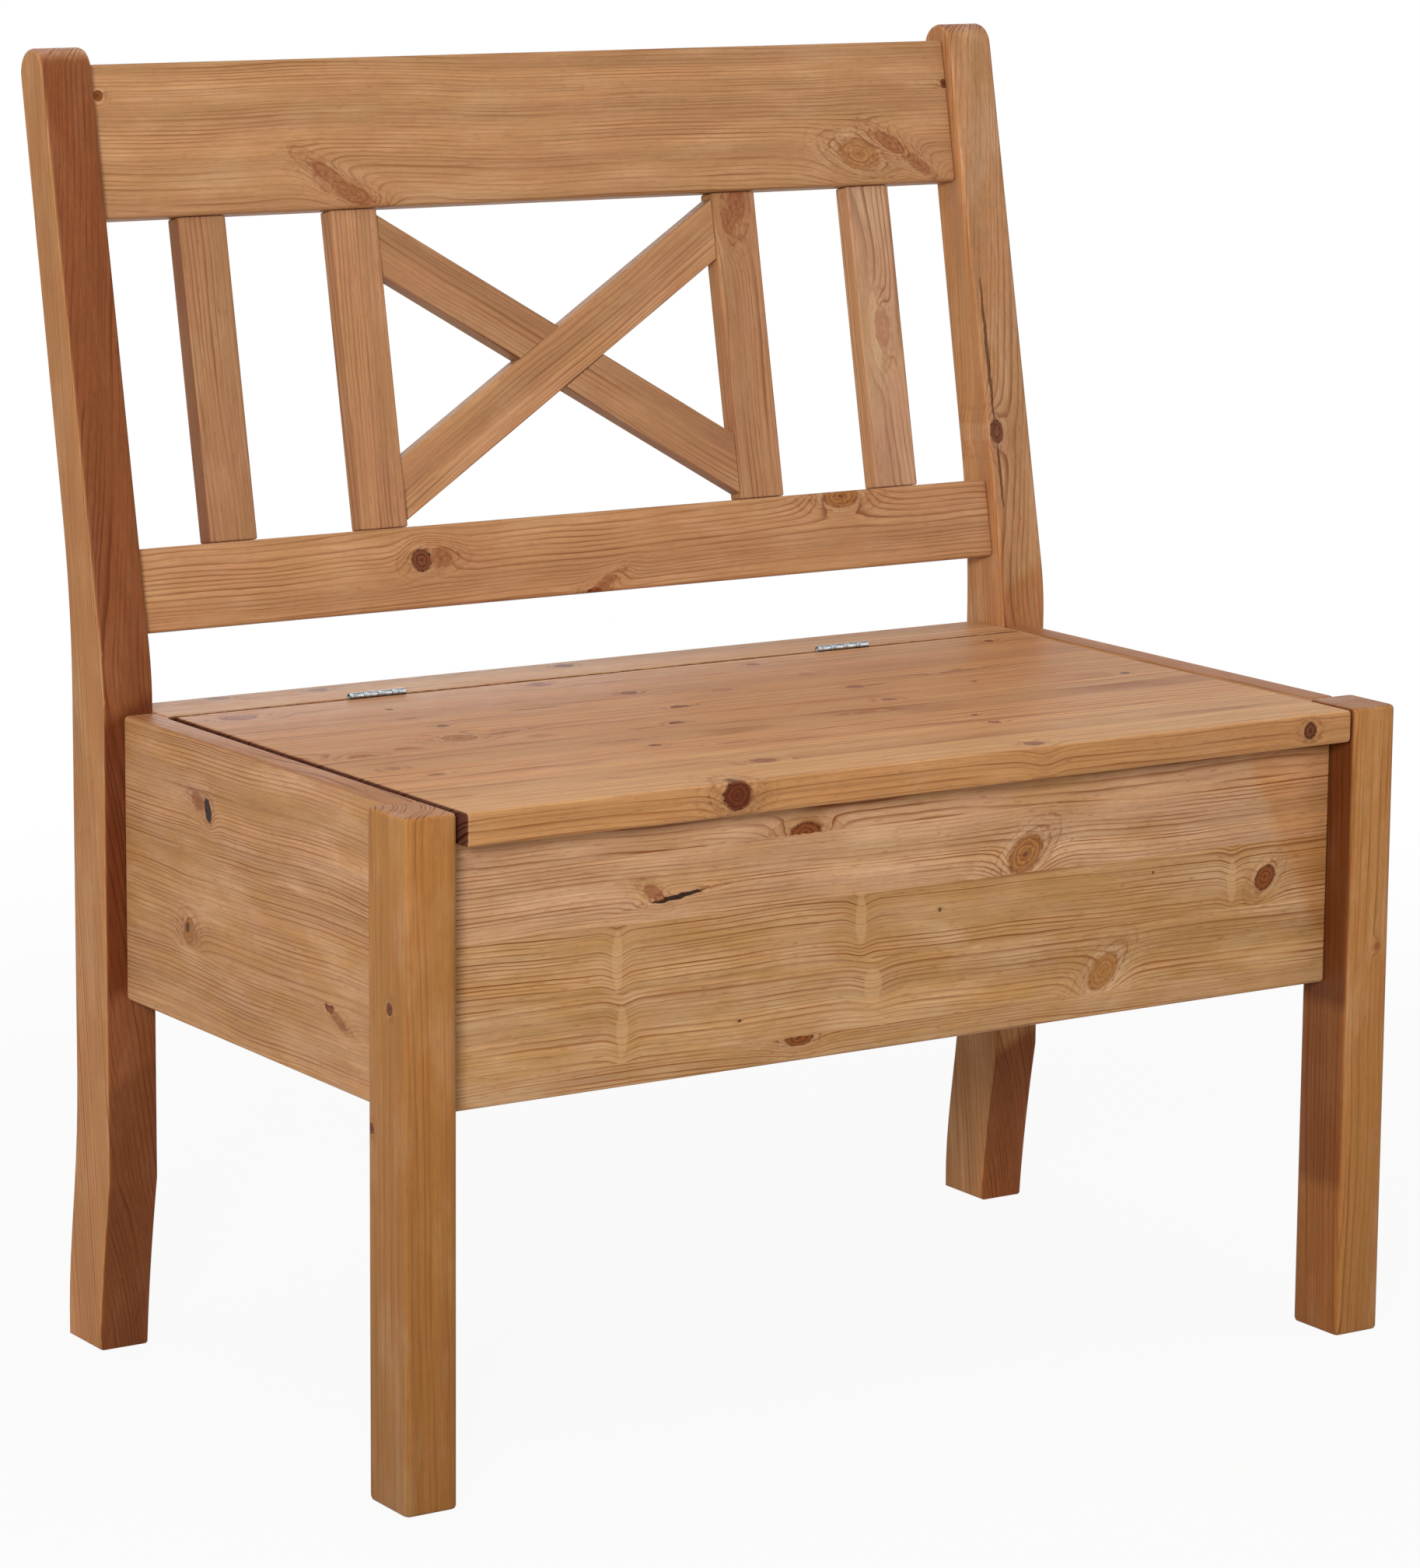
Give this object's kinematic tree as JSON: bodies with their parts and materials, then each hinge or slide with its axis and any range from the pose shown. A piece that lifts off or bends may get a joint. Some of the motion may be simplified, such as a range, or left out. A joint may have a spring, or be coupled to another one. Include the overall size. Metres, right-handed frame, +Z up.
{
  "type": "settle bench",
  "caption": "Pine settle bench with a storage chest under a hinged lid and a raked back of rails, slats and a crossed brace.",
  "frame": {"origin": "middle of the bench's bounding box, at the floor", "axes": "+X along the bench to the right as seen from the front, +Y from the front to the back, +Z up"},
  "size_m": [0.85, 0.5658, 0.96],
  "materials": {
    "stained_pine": "satin lacquer over honey-brown stain",
    "stained_pine_post": "satin lacquer over honey-brown stain, darker planks",
    "stained_pine_slat": "satin lacquer over honey-brown stain",
    "stained_pine_seat": "satin lacquer over honey-brown stain",
    "plain_pine": "planed, thinly lacquered",
    "beech": "turned, unfinished",
    "zinc_steel": "bright zinc plate"
  },
  "bodies": {
    "frame": {"front_leg_left": "stained_pine", "front_leg_right": "stained_pine", "rear_post_left": "stained_pine_post", "rear_post_right": "stained_pine_post", "side_panel_left": "stained_pine", "side_panel_right": "stained_pine", "front_panel": "stained_pine", "back_panel": "stained_pine", "rear_seat_board": "stained_pine_seat", "chest_floor": "plain_pine", "floor_cleat_front": "plain_pine", "floor_cleat_rear": "plain_pine", "floor_cleat_left": "plain_pine", "floor_cleat_right": "plain_pine", "bottom_rail": "stained_pine", "top_rail": "stained_pine", "slat_outer_left": "stained_pine_slat", "slat_inner_left": "stained_pine_slat", "slat_inner_right": "stained_pine_slat", "slat_outer_right": "stained_pine_slat", "brace_rising": "stained_pine_slat", "brace_falling": "stained_pine_slat", "hinge_fixed_leaf_left": "zinc_steel", "hinge_fixed_leaf_right": "zinc_steel", "hinge_pin_left": "zinc_steel", "hinge_pin_right": "zinc_steel", "hinge_screw_fixed_left_1": "zinc_steel", "hinge_screw_fixed_left_2": "zinc_steel", "hinge_screw_fixed_right_1": "zinc_steel", "hinge_screw_fixed_right_2": "zinc_steel", "dowel_side_panel_front_1_left": "beech", "dowel_side_panel_front_2_left": "beech", "dowel_side_panel_rear_1_left": "beech", "dowel_side_panel_rear_2_left": "beech", "dowel_front_panel_1_left": "beech", "dowel_front_panel_2_left": "beech", "dowel_back_panel_1_left": "beech", "dowel_back_panel_2_left": "beech", "dowel_side_panel_front_1_right": "beech", "dowel_side_panel_front_2_right": "beech", "dowel_side_panel_rear_1_right": "beech", "dowel_side_panel_rear_2_right": "beech", "dowel_front_panel_1_right": "beech", "dowel_front_panel_2_right": "beech", "dowel_back_panel_1_right": "beech", "dowel_back_panel_2_right": "beech"},
    "lid": {"lid": "stained_pine_seat", "lid_batten_left": "plain_pine", "lid_batten_right": "plain_pine", "batten_screw_left_1": "zinc_steel", "batten_screw_left_2": "zinc_steel", "batten_screw_right_1": "zinc_steel", "batten_screw_right_2": "zinc_steel", "hinge_lid_leaf_left": "zinc_steel", "hinge_lid_leaf_right": "zinc_steel", "hinge_screw_lid_left_1": "zinc_steel", "hinge_screw_lid_left_2": "zinc_steel", "hinge_screw_lid_right_1": "zinc_steel", "hinge_screw_lid_right_2": "zinc_steel"}
  },
  "joints": [
    {"name": "lid_hinge", "type": "hinge", "parent": "frame", "child": "lid", "pos_m": [0, 0.1366, 0.4836], "axis": [-1, 0, 0], "range_deg": [0, 105]}
  ]
}
